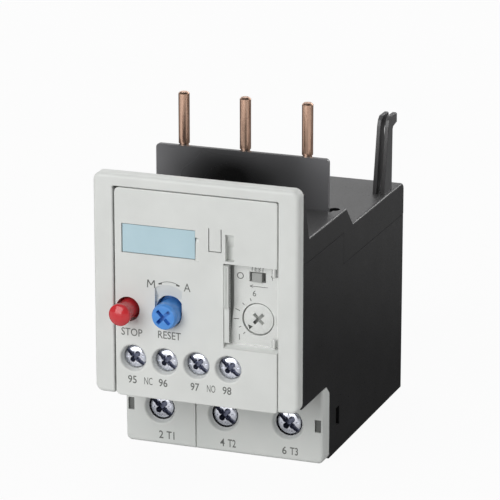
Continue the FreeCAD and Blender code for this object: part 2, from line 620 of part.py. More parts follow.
def heater_winding(x):
    """Flat heater ribbon wound round the bimetal: stacked turns joined by short steps."""
    turns = 7
    pitch = 2.7
    ribbon = 1.7
    pieces = []
    for i in range(turns):
        z = 11.0 + i * pitch
        outer = box(x - 2.3, x + 2.3, BIMETAL_Y - 4.2, BIMETAL_Y + 4.2, z, z + ribbon)
        inner = box(x - 1.7, x + 1.7, BIMETAL_Y - 3.6, BIMETAL_Y + 3.6, z - 1, z + ribbon + 1)
        pieces.append(outer.cut(inner))
        if i < turns - 1:
            step_y = BIMETAL_Y - 4.2 if i % 2 else BIMETAL_Y + 3.6
            pieces.append(box(x - 0.6, x + 0.6, step_y, step_y + 0.6, z + ribbon - 0.2, z + pitch + 0.2))
    top = 11.0 + (turns - 1) * pitch + ribbon
    pieces.append(box(x + 1.7, x + 2.3, BIMETAL_Y - 1.5, BIMETAL_Y + 1.5, top - 0.4, 31.0))
    pieces.append(box(x + 1.7, x + 3.36, BIMETAL_Y - 1.5, BIMETAL_Y + 1.0, 30.0, 31.0))
    pieces.append(box(x + 1.7, x + 2.3, BIMETAL_Y - 2.5, BIMETAL_Y + 2.5, 8.0, 11.4))
    return join(*pieces)


def slider_bar(z0, near_gap, far_gap, with_finger):
    """Bar across the poles, with a window round each bimetal; it moves towards +X."""
    thick = 1.2
    bar = box(-19.0, 16.0 if with_finger else 14.9, 45.2, 54.8, z0, z0 + thick)
    for x in POLES:
        window = box(x - 0.45 - far_gap, x + 0.45 + near_gap, BIMETAL_Y - 3.4, BIMETAL_Y + 3.4,
                     z0 - 1, z0 + thick + 1)
        bar = bar.cut(window)
    if with_finger:
        finger = box(15.2, LEVER_X - 0.9, 44.4, 47.2, z0, 37.4)
        bar = join(bar, finger)
    return bar


def trip_lever():
    """Two-armed lever on a vertical pin: sliders push its rear arm, its front arm trips."""
    hub = rod_z(2.2, LEVER_X, LEVER_Y, 35.0, 38.3)
    rear = box(LEVER_X - 0.6, LEVER_X + 0.6, LEVER_Y, 46.6, 35.6, 37.6)
    front = box(LEVER_X - 0.6, LEVER_X + 0.6, 22.0, LEVER_Y, 35.0, 37.6)
    lever = join(hub, rear, front)
    return lever.cut(rod_z(1.0 + RUN, LEVER_X, LEVER_Y, 30, 45))


def lever_pins():
    """Steel pins of the trip lever and of the release lever, each with a head."""
    upper = join(rod_z(1.0, LEVER_X, LEVER_Y, 34.4, 46.0), rod_z(1.7, LEVER_X, LEVER_Y, 33.9, 34.7))
    lower = join(rod_z(1.0, CRANK_X, CRANK_Y, 27.6, 35.9), rod_z(1.7, CRANK_X, CRANK_Y, 35.5, 36.3))
    return Part.makeCompound([upper, lower])


def compensation_strip():
    """Second bimetal on the lever's front arm, which takes out the room temperature."""
    return box(LEVER_X - 1.5, LEVER_X - 0.6, 18.0, 25.6, 34.4, 37.2)


def release_lever():
    """Bell crank that turns the lever's push into the contact carrier's travel."""
    hub = rod_z(2.0, CRANK_X, CRANK_Y, 30.6, 35.3)
    pusher = box(-3.9, CRANK_X, CRANK_Y - 0.7, CRANK_Y + 0.7, 30.6, 32.6)
    feeler = box(CRANK_X - 0.6, CRANK_X + 0.6, 16.4, CRANK_Y, 33.0, 35.3)
    lever = join(hub, pusher, feeler)
    return lever.cut(rod_z(1.0 + RUN, CRANK_X, CRANK_Y, 25, 40))


def contact_carrier():
    """Black slide in the nose that holds both moving contacts."""
    rear_bar = box(-16.2, -2.4, 10.5, 11.4, 28.8, 31.5)
    arm = box(-4.2, -2.4, 5.4, 11.4, 28.8, 31.5)
    front_bar = box(-4.2, 9.0, 5.2, 6.5, 28.8, 31.5)
    tail = box(-4.2, -2.6, 11.0, 24.0, 28.8, 30.2)
    tab = box(-4.2, -2.6, 23.1, 24.0, 28.8, 32.6)
    return join(rear_bar, arm, front_bar, tail, tab)


def contact_bridges():
    """Moving contact bridges: closed at rest across 95-96, open across 97-98."""
    closed = box(AUX_X[0] - 1.3, AUX_X[1] + 1.3, 9.9, 10.5, 29.4, 31.0)
    opened = box(AUX_X[2] - 1.1, AUX_X[3] + 1.3, 6.5, 7.1, 29.4, 31.0)
    bridges = []
    for bridge, ends, y0, y1 in ((closed, AUX_X[:2], 9.4, 9.95), (opened, AUX_X[2:], 7.0, 7.2)):
        tips = [rod_y(0.7, x, 30.2, y0, y1) for x in ends]
        bridges.append(join(bridge, *tips))
    return Part.makeCompound(bridges)


# ---------------------------------------------------------------- build
save("housing_base", housing_base())
save("top_cover", top_cover())
save("front_frame", front_frame())
save("front_panel", front_panel())
save("terminal_shroud", terminal_shroud())
save("phase_barrier", phase_barrier())
save("mounting_hook", mounting_hook())
save("mechanism_bracket", mechanism_bracket())
save("label_strip", box(LABEL[0], LABEL[1], LABEL_FRONT, LABEL_BACK, LABEL[2], LABEL[3]))
save("scale_plate", scale_plate())
save("clear_cover", clear_cover())
save("cover_grip", cover_grip())
save("cover_hinge_pins", cover_hinge_pins())
save("current_dial", current_dial())
save("dial_cam", dial_cam())
save("stop_button", stop_button())
save("stop_spring", coil_spring(STOP_X, STOP_Z, 4.2, BRACKET_Y, 6))
save("reset_button", reset_button())
save("reset_ring", reset_ring())
save("reset_spring", coil_spring(RESET_X, RESET_Z, 4.2, 11.6, 5))
save("test_slide", test_slide())
main_terminals()
aux_terminals()
for number, pole in enumerate(POLES, 1):
    save("connection_pin_%d" % number, connection_pin((number - 2) * PIN_PITCH, pole))
    save("bimetal_%d" % number, bimetal(pole))
    save("heater_winding_%d" % number, heater_winding(pole))
save("main_slider", slider_bar(SLIDER_Z, 0.3, 2.3, True))
save("differential_slider", slider_bar(SLIDER_Z + 1.4, 0.3, 2.3, False))
save("trip_lever", trip_lever())
save("lever_pins", lever_pins())
save("compensation_strip", compensation_strip())
save("release_lever", release_lever())
save("contact_carrier", contact_carrier())
save("contact_bridges", contact_bridges())
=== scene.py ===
# %% [markdown]
# # A thermal overload relay, dressed for the studio
# The shape and the moving parts come ready made from the CAD frame, in metres. This lesson
# gives every surface its finish, rebuilds the small pieces that need finer detail than the
# CAD solids have, prints the lettering, and sets up a plain studio.

# %% Load the frame
import json
import math
import bmesh
import bpy
from mathutils import Matrix, Vector


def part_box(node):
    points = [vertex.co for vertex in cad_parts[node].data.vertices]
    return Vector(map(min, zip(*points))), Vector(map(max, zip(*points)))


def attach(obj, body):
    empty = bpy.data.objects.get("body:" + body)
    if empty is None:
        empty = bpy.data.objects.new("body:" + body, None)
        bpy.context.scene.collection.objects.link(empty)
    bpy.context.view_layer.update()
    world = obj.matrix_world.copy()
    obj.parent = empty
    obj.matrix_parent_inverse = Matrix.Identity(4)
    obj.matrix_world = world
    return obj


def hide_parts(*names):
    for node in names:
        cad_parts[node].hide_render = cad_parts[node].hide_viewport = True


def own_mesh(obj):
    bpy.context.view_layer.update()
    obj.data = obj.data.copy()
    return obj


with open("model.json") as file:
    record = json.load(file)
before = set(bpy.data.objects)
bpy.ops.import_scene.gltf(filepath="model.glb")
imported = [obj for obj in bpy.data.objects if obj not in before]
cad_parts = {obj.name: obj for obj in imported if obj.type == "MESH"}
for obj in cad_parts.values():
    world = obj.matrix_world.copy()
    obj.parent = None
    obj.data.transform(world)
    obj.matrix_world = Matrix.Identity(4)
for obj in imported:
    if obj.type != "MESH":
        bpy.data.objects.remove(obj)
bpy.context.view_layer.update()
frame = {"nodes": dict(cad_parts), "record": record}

MM = 0.001
nodes = frame["nodes"]


# %% [markdown]
# ## Colours and nodes
# Colours are written the way a colour picker shows them, as sRGB hex, and one function turns
# them into the linear values that Cycles works with. A second small function adds a shader
# node with its settings and links, so that each material below reads as a short recipe.

# %% Colour and node helpers
def linear(hex_code, alpha=1.0):
    """sRGB hex such as '#CFD1CE' as linear red, green, blue, alpha."""
    parts = [int(hex_code[i:i + 2], 16) / 255 for i in (1, 3, 5)]
    lin = [p / 12.92 if p <= 0.04045 else ((p + 0.055) / 1.055) ** 2.4 for p in parts]
    return (*lin, alpha)


def add(tree, kind, settings=None, **inputs):
    """Add a shader node. Settings are attributes; inputs are values or sockets to link from."""
    node = tree.nodes.new("ShaderNode" + kind)
    for name, value in (settings or {}).items():
        setattr(node, name, value)
    for name, value in inputs.items():
        key = int(name[1:]) if name[0] == "i" and name[1:].isdigit() else name.replace("_", " ")
        if isinstance(value, bpy.types.NodeSocket):
            tree.links.new(value, node.inputs[key])
        else:
            node.inputs[key].default_value = value
    return node


def new_material(name):
    """Empty node material: returns the material, its tree and its output node."""
    material = bpy.data.materials.new(name)
    material.use_nodes = True
    tree = material.node_tree
    tree.nodes.clear()
    return material, tree, tree.nodes.new("ShaderNodeOutputMaterial")


def ramp(tree, factor, stops):
    """Colour ramp between (position, linear colour) stops."""
    node = add(tree, "ValToRGB", Fac=factor)
    while len(node.color_ramp.elements) < len(stops):
        node.color_ramp.elements.new(0.5)
    for element, (position, colour) in zip(node.color_ramp.elements, stops):
        element.position = position
        element.color = colour
    return node.outputs["Color"]


# %% [markdown]
# ## Moulded plastics
# The housings are injection-moulded thermoplastic. The mould is spark-eroded, which leaves a
# fine grain of a few tenths of a millimetre: too small to see as bumps, but it spreads the
# highlights. So the recipe is a nearly flat colour, a grain in the roughness and the bump,
# and a very soft mottle, some millimetres wide, such as flow and handling leave. On the black
# case the faces that look up are painted a paler tone: painted top light, as if lit from above.

# %% Moulded plastic
# How deep a grain or a mark is where the bump has its full strength.
RELIEF_DEEP = 0.02 * MM


def moulded(name, low, high, roughness, grain_mm, bump, specular=0.5, mottle_mm=7.0, painted_top_light=None):
    """Spark-eroded moulded plastic between two close tones. The last tone, if given, is painted on
    upward faces as painted light from above.
    """
    material, tree, out = new_material(name)
    place = add(tree, "TexCoord").outputs["Object"]
    cloud = add(tree, "TexNoise", Vector=place, Scale=1 / (mottle_mm * MM), Detail=2.0)
    grain = add(tree, "TexNoise", Vector=place, Scale=1 / (grain_mm * MM), Detail=3.0)
    colour = ramp(tree, cloud.outputs["Fac"], [(0.3, linear(low)), (0.7, linear(high))])
    # Painted top light: faces that look up are painted a paler tone, as if lit from above.
    if painted_top_light:
        facing = add(tree, "NewGeometry").outputs["Normal"]
        upward = add(tree, "SeparateXYZ", Vector=facing).outputs["Z"]
        cover = add(tree, "MapRange", i0=upward, i1=0.2, i2=1.0)
        colour = add(tree, "Mix", {"data_type": "RGBA"}, i0=cover.outputs[0], i6=colour,
                     i7=linear(painted_top_light)).outputs[2]
    rough = add(tree, "MapRange", i0=grain.outputs["Fac"], i1=0.3, i2=0.7,
                i3=roughness - 0.06, i4=roughness + 0.06)
    relief = add(tree, "Bump", Height=grain.outputs["Fac"], Strength=bump,
                 Distance=RELIEF_DEEP)
    shader = add(tree, "BsdfPrincipled", Base_Color=colour, Roughness=rough.outputs[0],
                 Normal=relief.outputs["Normal"], IOR=1.5)
    shader.inputs["Specular IOR Level"].default_value = specular
    tree.links.new(shader.outputs[0], out.inputs[0])
    return material


bezel_grey = moulded("moulded light grey polycarbonate", "#D5D7D4", "#DADCD9", 0.42, 0.35, 0.4)
shroud_grey = moulded("moulded grey polyamide", "#D0D3D0", "#D5D7D4", 0.45, 0.35, 0.4)
# The black case is painted paler on the faces that look up: painted top light.
case_black = moulded("moulded black glass-filled polyamide", "#1C1C1D", "#222223", 0.33, 0.3,
                     0.4, painted_top_light="#4F4F50")
hook_black = moulded("moulded black spring polyamide", "#454546", "#4C4C4D", 0.35, 0.3, 0.3)
stop_red = moulded("moulded red ABS", "#C52D34", "#CE373D", 0.19, 0.6, 0.03, mottle_mm=4.0)
reset_blue = moulded("moulded blue ABS", "#4A8CD8", "#5696DE", 0.2, 0.6, 0.03, mottle_mm=4.0)
works_cream = moulded("moulded natural thermoset", "#D8CDA8", "#E2D8B6", 0.5, 0.3, 0.5)
slide_grey = moulded("moulded mid grey polyamide", "#9C9E9B", "#A5A7A4", 0.45, 0.35, 0.4)
# Dark grey for the blocks in the shroud's clip slots: painted shade.
painted_shade_grey = moulded("moulded dark grey polyamide", "#5E605E", "#686A68", 0.5, 0.35, 0.4)
label_blue = moulded("printed pale blue label card", "#B2CCD5", "#B8D1DA", 0.55, 0.25, 0.3,
                     specular=0.3)


# %% [markdown]
# ## Smooth black sheet
# The phase barrier is a smooth sheet, and its tone is painted shade and painted light: dark
# round a point near the middle of its foot, as if in shade, and paler toward its ends and top,
# as if lit there. The tone grows with the distance from that point, and a wide noise breaks the
# outline of the dark patch.

# %% Sheet
def sheet_with_painted_shade(name, dark, light, centre, reach):
    """Smooth plastic, painted dark round a point in mm as shade and paler at a distance of reach
    mm as light.
    """
    material, tree, out = new_material(name)
    place = add(tree, "TexCoord").outputs["Object"]
    offset = add(tree, "Mapping", Vector=place,
                 Location=[-c / r for c, r in zip(centre, reach)],
                 Scale=[1 / (r * MM) for r in reach])
    away = add(tree, "VectorMath", {"operation": "LENGTH"}, i0=offset.outputs[0])
    cloud = add(tree, "TexNoise", Vector=place, Scale=1 / (14.0 * MM), Detail=1.0)
    drift = add(tree, "MapRange", i0=cloud.outputs["Fac"], i1=0.2, i2=0.8, i3=-0.15, i4=0.15)
    variation = add(tree, "Math", {"operation": "ADD"}, i0=away.outputs["Value"],
               i1=drift.outputs[0])
    # Painted shade near the point and painted light away from it.
    colour = ramp(tree, variation.outputs[0], [(0.15, linear(dark)), (0.75, linear(light))])
    rough = add(tree, "MapRange", i0=cloud.outputs["Fac"], i1=0.3, i2=0.7, i3=0.24, i4=0.3)
    shader = add(tree, "BsdfPrincipled", Base_Color=colour, Roughness=rough.outputs[0], IOR=1.5)
    tree.links.new(shader.outputs[0], out.inputs[0])
    return material


# The barrier's tone: painted shade at its foot, painted light toward its ends and top.
sheet_black = sheet_with_painted_shade("smooth black polycarbonate sheet", "#0A0A0A", "#6E6E70",
                          (-3, 0, 55), (30, 1000, 26))


# %% [markdown]
# ## Metals
# Bright zinc plate is a bluish white metal with fine turning marks. Drawn copper that has lain
# in stock is brown with bright streaks along the drawing direction, so its noise is
# stretched along Z. Rolled strip and resistance ribbon are plainer greys; spring wire gets the
# zinc.

# %% Metals
def plated(name, dark, light, roughness, mark_mm, stretch=(1, 1, 1), bump=0.3):
    """Metal with marks of one size, stretched along an axis where it was drawn or rolled."""
    material, tree, out = new_material(name)
    place = add(tree, "TexCoord").outputs["Object"]
    along = add(tree, "Mapping", Vector=place, Scale=stretch)
    marks = add(tree, "TexNoise", Vector=along.outputs[0], Scale=1 / (mark_mm * MM), Detail=4.0)
    colour = ramp(tree, marks.outputs["Fac"], [(0.35, linear(dark)), (0.65, linear(light))])
    rough = add(tree, "MapRange", i0=marks.outputs["Fac"], i1=0.3, i2=0.7,
                i3=roughness - 0.07, i4=roughness + 0.07)
    relief = add(tree, "Bump", Height=marks.outputs["Fac"], Strength=bump,
                 Distance=RELIEF_DEEP)
    shader = add(tree, "BsdfPrincipled", Base_Color=colour, Metallic=1.0,
                 Roughness=rough.outputs[0], Normal=relief.outputs["Normal"])
    tree.links.new(shader.outputs[0], out.inputs[0])
    return material


zinc = plated("bright zinc plate on steel", "#D2D5E0", "#E2E4ED", 0.27, 0.8, bump=0.1)
# Darker zinc for the faces inside a screw's recess: painted shade.
zinc_painted_shade = plated("zinc plate in the driver recess", "#5E6172", "#74788A", 0.4, 0.5, bump=0.1)
copper = plated("drawn copper, lightly tarnished", "#CBA48E", "#DAB7A1", 0.3, 0.35,
                stretch=(1, 1, 0.04), bump=0.08)
brass = plated("stamped brass strip", "#B08D4C", "#CDAE6C", 0.3, 0.4)
strip_steel = plated("rolled bimetal strip", "#8C8880", "#A7A299", 0.35, 0.4, (1, 1, 0.1))
ribbon_steel = plated("resistance ribbon", "#6E665C", "#8C8478", 0.4, 0.4)


# %% [markdown]
# ## Clear polycarbonate
# The lid over the setting scale is thin clear polycarbonate, with a very slight haze from the
# mould. Its index is set well below the true 1.58, because so thin a lid barely shows. Glass in
# a ray tracer throws a full shadow unless the lamps are let through, and the real lid throws
# almost none, so its shader turns transparent for shadow rays.

# %% Clear plastic
def clear_plastic():
    """Clear lid material that lets the lamps reach what lies behind it."""
    material, tree, out = new_material("clear moulded polycarbonate")
    place = add(tree, "TexCoord").outputs["Object"]
    variation = add(tree, "TexNoise", Vector=place, Scale=1 / (3.0 * MM), Detail=2.0)
    rough = add(tree, "MapRange", i0=variation.outputs["Fac"], i1=0.3, i2=0.7, i3=0.02, i4=0.06)
    shader = add(tree, "BsdfPrincipled", Base_Color=linear("#F3F3F3"),
                 Roughness=rough.outputs[0], IOR=1.12)
    shader.inputs["Transmission Weight"].default_value = 1.0
    through = add(tree, "BsdfTransparent", Color=linear("#F9F9F9"))
    path = add(tree, "LightPath")
    mixed = add(tree, "MixShader", i0=path.outputs["Is Shadow Ray"], i1=shader.outputs[0],
                i2=through.outputs[0])
    tree.links.new(mixed.outputs[0], out.inputs[0])
    return material


lid_clear = clear_plastic()


# %% [markdown]
# ## Printing ink
# The marks on the front are pad-printed in a thin grey ink. Its edge is crisp, and the ink
# lies unevenly on the grain, which a noise of a tenth of a millimetre shows.

# %% Ink
def printing_ink():
    """Matt grey ink, a little patchy."""
    material, tree, out = new_material("pad-printed grey ink")
    place = add(tree, "TexCoord").outputs["Object"]
    patch = add(tree, "TexNoise", Vector=place, Scale=1 / (0.12 * MM), Detail=2.0)
    tone = ramp(tree, patch.outputs["Fac"], [(0.3, linear("#5C5E5B")), (0.7, linear("#6A6C69"))])
    rough = add(tree, "MapRange", i0=patch.outputs["Fac"], i1=0.3, i2=0.7, i3=0.5, i4=0.62)
    shader = add(tree, "BsdfPrincipled", Base_Color=tone, Roughness=rough.outputs[0], IOR=1.5)
    tree.links.new(shader.outputs[0], out.inputs[0])
    return material


grey_ink = printing_ink()


# %% [markdown]
# ## Dressing the CAD nodes
# The record names a material slot for each CAD node. One table from slot to finish dresses them
# all. Then the three nodes that look different from the rest of their slot get their own.

# %% Finishes
FINISHES = {
    "grey_plastic": bezel_grey, "shroud_plastic": shroud_grey, "black_plastic": case_black,
    "cream_plastic": works_cream, "clear_plastic": lid_clear, "label_blue": label_blue,
    "red_plastic": stop_red, "blue_plastic": reset_blue, "plated_steel": zinc,
    "spring_steel": zinc, "bimetal": strip_steel, "heater_alloy": ribbon_steel,
    "copper": copper, "brass": brass,
}


def dress(piece, *materials):
    """Give a piece its material, or one per material slot."""
    # Clearing the list also resets which slot each face uses, so a new piece skips it.
    if piece.data.materials:
        piece.data.materials.clear()
    for material in materials:
        piece.data.materials.append(material)


for subpart in frame["record"]["subparts"]:
    dress(nodes[subpart["node"]], FINISHES[subpart["material_slot"]])
dress(nodes["phase_barrier"], sheet_black)
dress(nodes["mounting_hook"], hook_black)
dress(nodes["test_slide"], slide_grey)


# %% [markdown]
# ## From a bmesh to a finished piece
# Every piece below ends the same way: doubles merged, faces turned outwards, faces smooth but
# sharp where two of them meet at more than 30 degrees. Then it is told which CAD body it moves
# with and which CAD node it stands for. Its object stays at the origin, like a CAD node's.
# A few short helpers move, turn and join bmeshes, because nearly every piece needs them.

# %% Bmesh helpers
def move(mesh, by):
    """Move a whole bmesh."""
    bmesh.ops.translate(mesh, verts=mesh.verts, vec=by)


def swing(mesh, angle, axis):
    """Turn a whole bmesh about an axis through the origin. The angle is in radians."""
    bmesh.ops.rotate(mesh, verts=mesh.verts, cent=(0, 0, 0),
                     matrix=Matrix.Rotation(angle, 3, axis))


def block(size, middle=(0, 0, 0)):
    """Box of a size in metres round a middle point."""
    mesh = bmesh.new()
    bmesh.ops.create_cube(mesh, size=1.0)
    bmesh.ops.scale(mesh, verts=mesh.verts, vec=size)
    move(mesh, middle)
    return mesh


def thicken(mesh, by):
    """Extrude every face of a flat bmesh by a vector. Returns the new vertices."""
    made = bmesh.ops.extrude_face_region(mesh, geom=mesh.faces[:])
    verts = [part for part in made["geom"] if isinstance(part, bmesh.types.BMVert)]
    bmesh.ops.translate(mesh, verts=verts, vec=by)
    return verts


def join(mesh, other):
    """Add another bmesh to a bmesh. The other one is used up."""
    spare = bpy.data.meshes.new("spare")
    other.to_mesh(spare)
    other.free()
    mesh.from_mesh(spare)
    bpy.data.meshes.remove(spare)


# %% Piece helpers
MERGE_WITHIN = 0.001 * MM
SHARP_ANGLE = math.radians(30)


def settle(mesh):
    """Merge doubles, turn the faces outwards and mark the sharp edges."""
    bmesh.ops.remove_doubles(mesh, verts=mesh.verts, dist=MERGE_WITHIN)
    bmesh.ops.recalc_face_normals(mesh, faces=mesh.faces)
    for face in mesh.faces:
        face.smooth = True
    for edge in mesh.edges:
        edge.smooth = edge.calc_face_angle(0.0) < SHARP_ANGLE


def make_object(name, mesh):
    """Turn a bmesh into a linked object."""
    data = bpy.data.meshes.new(name)
    mesh.to_mesh(data)
    mesh.free()
    piece = bpy.data.objects.new(name, data)
    bpy.context.scene.collection.objects.link(piece)
    return piece


def place_piece(piece, body, slot, *stands_for):
    """Hang a finished piece on its CAD body and hide the node that it replaces."""
    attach(piece, body)
    if stands_for:
        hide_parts(*stands_for)
    print(piece.name, len(piece.data.polygons), "faces, rides on", body)


def middle_of(node):
    """X and Z of the middle of a node's box, its front Y and its half width."""
    low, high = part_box(node)
    return (low[0] + high[0]) / 2, (low[2] + high[2]) / 2, low[1], (high[0] - low[0]) / 2


# %% [markdown]
# ## Turned shapes
# Buttons, dial and screws are all round, so each starts as half of its outline, drawn as radius
# against depth, which Spin sweeps once round. Two more tools follow: a bevel softens the rings
# where two faces meet sharply, and a Boolean takes out recesses with a cutter.

# %% Spin, bevel and cut
def turned(profile, x, front, z, steps=64):
    """Solid turned about the Y line through (x, z). The profile is (radius, depth) in mm."""
    mesh = bmesh.new()
    line = [mesh.verts.new((radius * MM, depth * MM, 0)) for radius, depth in profile]
    edges = [mesh.edges.new(pair) for pair in zip(line, line[1:])]
    bmesh.ops.spin(mesh, geom=line + edges, cent=(0, 0, 0), axis=(0, 1, 0),
                   angle=2 * math.pi, steps=steps, use_merge=True)
    bmesh.ops.remove_doubles(mesh, verts=mesh.verts, dist=MERGE_WITHIN)
    bmesh.ops.recalc_face_normals(mesh, faces=mesh.faces)
    move(mesh, (x, front, z))
    return mesh


def soften(mesh, width, least_angle=40, segments=2, before=math.inf):
    """Bevel the edges that are sharper than an angle and begin in front of a depth."""
    sharp = [edge for edge in mesh.edges if edge.calc_face_angle(0.0) > math.radians(least_angle)
             and min(vert.co.y for vert in edge.verts) < before]
    bmesh.ops.bevel(mesh, geom=sharp, offset=width * MM, offset_type="OFFSET", affect="EDGES",
                    segments=segments, profile=0.5, material=-1, clamp_overlap=True)


def bar(long, deep, wide, turn):
    """Cutter for a slot in a face at Y = 0, in mm, turned by some degrees about Y."""
    mesh = block((long * MM, 2 * deep * MM, wide * MM))
    swing(mesh, math.radians(turn), "Y")
    return mesh


def cut(mesh, cutters, at):
    """Take cutters out of a solid. Each cutter is moved by 'at' first, and is used up."""
    solid = make_object("solid", mesh)
    for cutter in cutters:
        move(cutter, at)
        bmesh.ops.recalc_face_normals(cutter, faces=cutter.faces)
        tool = make_object("tool", cutter)
        step = solid.modifiers.new("cut", "BOOLEAN")
        step.operation = "DIFFERENCE"
        step.solver = "EXACT"
        step.object = tool
        bpy.context.view_layer.update()
        baked = bpy.data.meshes.new_from_object(
            solid.evaluated_get(bpy.context.evaluated_depsgraph_get()))
        solid.modifiers.clear()
        solid.data = baked
        bpy.data.objects.remove(tool)
    result = bmesh.new()
    result.from_mesh(solid.data)
    bpy.data.objects.remove(solid)
    bmesh.ops.remove_doubles(result, verts=result.verts, dist=2 * MERGE_WITHIN)
    return result


# %% [markdown]
# ## Stop button
# A small red mushroom: a shallow dome on a thin neck that slides in the panel's hole, and
# behind the panel a flange and a guide shaft. The dome is one arc of the profile. The crisp
# line round its rim comes from a narrow bevel, which catches the light.

# %% Stop button
def dome(radius, rise, points=8):
    """(radius, depth) points in mm of a shallow dome, from its tip to its rim."""
    ball = (radius ** 2 + rise ** 2) / (2 * rise)
    reach = math.asin(radius / ball)
    angles = [reach * i / points for i in range(points + 1)]
    return [(ball * math.sin(a), ball - ball * math.cos(a)) for a in angles]


def stop_button():
    """Red mushroom with its neck, flange and guide shaft."""
    x, z, front, _ = middle_of("stop_button")
    depth = (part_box("stop_button")[1][1] - front) / MM
    rim, neck, flange, shaft = 2.35, 2.05, 3.2, 1.2
    flange_front, flange_back = 8.4, 9.4
    profile = dome(2.3, 0.85) + [(rim, 0.95), (rim, 1.75), (neck, 1.9), (neck, flange_front),
                                 (flange, flange_front), (flange, flange_back),
                                 (shaft, flange_back), (shaft, depth), (0, depth)]
    mesh = turned(profile, x, front, z)
    soften(mesh, 0.12)
    settle(mesh)
    piece = make_object("stop_button_dressed", mesh)
    dress(piece, stop_red)
    place_piece(piece, "stop", "red_plastic", "stop_button")


stop_button()


# %% [markdown]
# ## Reset button
# A blue plunger with a deep cross in its face, so that a screwdriver can turn it from manual
# to automatic. The cross is two crossed slots. Their edges get a wide soft bevel, because the
# real ones shine as light ribs round the dark recess. A key on the shaft turns the M/A ring.

# %% Reset button
CROSS_TURNS = (-45, 45)


def reset_button():
    """Blue plunger with its driver cross, flange, guide shaft and key."""
    x, z, front, _ = middle_of("reset_button")
    depth = (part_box("reset_button")[1][1] - front) / MM
    head, flange, shaft = 2.8, 3.3, 1.2
    flange_front, flange_back = 5.8, 6.8
    profile = [(0, 0), (2.45, 0), (head, 0.7), (head, flange_front), (flange, flange_front),
               (flange, flange_back), (shaft, flange_back), (shaft, depth), (0, depth)]
    mesh = turned(profile, x, front, z)
    cross = [bar(3.8, 1.4, 0.78, turn) for turn in CROSS_TURNS]
    mesh = cut(mesh, cross, (x, front, z))
    soften(mesh, 0.14, least_angle=24, before=front + 1.0 * MM)
    settle(mesh)
    key_size = (0.6 * MM, 6.8 * MM, 0.85 * MM)
    key_behind, key_above = 17.7 * MM, 1.225 * MM
    join(mesh, block(key_size, (x, front + key_behind, z + key_above)))
    piece = make_object("reset_button_dressed", mesh)
    dress(piece, reset_blue)
    place_piece(piece, "reset_button", "blue_plastic", "reset_button")


reset_button()


# %% [markdown]
# ## Setting dial
# A light grey disc in the scale plate, with a cross for a screwdriver and a three-cornered
# notch near its rim that points at the scale. On the real dial the notch is filled with dark
# paint, so its faces get the printing ink as a second material. The cross gets a mid grey as a
# third, because little light reaches so narrow a slot.

# %% Dial
def pointer_notch():
    """Cutter for the dial's notch: a short three-cornered prism, below and left of the middle."""
    ahead, deep, out = 0.1 * MM, 0.4 * MM, 1.85 * MM
    notch = bmesh.new()
    bmesh.ops.create_circle(notch, cap_ends=True, segments=3, radius=0.62 * MM)
    swing(notch, math.radians(90), "X")
    thicken(notch, (0, ahead + deep, 0))
    move(notch, (0, -ahead, 0))
    swing(notch, math.radians(-45), "Y")
    move(notch, (-out, 0, -out))
    return notch


def current_dial():
    """Dial with its driver cross and its painted pointer notch."""
    x, z, _, _ = middle_of("current_dial")
    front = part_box("scale_plate")[0][1] + 0.25 * MM
    back = (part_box("current_dial")[1][1] - front) / MM
    disc, collar, collar_front = 3.22, 3.95, back - 0.9
    profile = [(0, 0), (disc, 0), (disc, collar_front), (collar, collar_front),
               (collar, back), (0, back)]
    mesh = turned(profile, x, front, z)
    cross = [bar(2.9, 1.0, 0.7, turn) for turn in CROSS_TURNS]
    mesh = cut(mesh, cross + [pointer_notch()], (x, front, z))
    soften(mesh, 0.08, before=front + 0.3 * MM)
    settle(mesh)
    # Faces inside the notch get the ink, and faces inside the cross the mid grey.
    notch_reach, cross_reach = 3.2, 1.7
    for face in mesh.faces:
        out = (face.calc_center_median() - Vector((x, front, z))) / MM
        off_axis = math.hypot(out.x, out.z)
        if 0.05 < out.y < 0.5 and max(out.x, out.z) < -1.0 and off_axis < notch_reach:
            face.material_index = 1
        elif 0.3 < out.y < 1.1 and off_axis < cross_reach:
            face.material_index = 2
    piece = make_object("current_dial_dressed", mesh)
    dress(piece, bezel_grey, grey_ink, slide_grey)
    place_piece(piece, "dial", "grey_plastic", "current_dial")


current_dial()


# %% [markdown]
# ## Terminal screws
# Seven screws with combination heads: a cross recess with four rounded lobes, a slot right
# across, and short marks between the lobes. The cross starts as a circle whose points are
# pulled in between the lobes. Its faces get a darker zinc: painted shade for the recess.
# The shank has ridges instead of a true thread: from outside they look the same.

# %% Screw parts
SLOT_TURN = 40
HEAD_CROWN = ((0.5, 0.02), (0.78, 0.12), (0.93, 0.27), (1, 0.48))


def lobed_recess(radius, deep, turn):
    """Tapered cutter with four lobes, its front just ahead of Y = 0."""
    waist, taper, ahead = 0.42, 0.6, 0.2
    mesh = bmesh.new()
    bmesh.ops.create_circle(mesh, cap_ends=True, segments=48, radius=radius * MM)
    for vert in mesh.verts:
        lobe = abs(math.cos(2 * math.atan2(vert.co.y, vert.co.x)))
        vert.co *= waist + (1 - waist) * lobe ** 0.8
    swing(mesh, math.radians(90), "X")
    move(mesh, (0, -ahead * MM, 0))
    floor = thicken(mesh, (0, (deep + ahead) * MM, 0))
    bmesh.ops.scale(mesh, verts=floor, vec=(taper, 1, taper))
    swing(mesh, math.radians(turn), "Y")
    return mesh


def shank(radius, start, end, pitch=0.5, groove=0.16):
    """(radius, depth) points in mm of a ridged shank, from the head to the tip."""
    points = [(radius, start)]
    turns = int((end - start - 1.0) / pitch)
    for i in range(turns):
        ridge = start + 0.5 + i * pitch
        points += [(radius, ridge), (radius - groove, ridge + pitch / 2)]
    return points + [(radius, end - 0.4), (radius - 0.4, end), (0, end)]


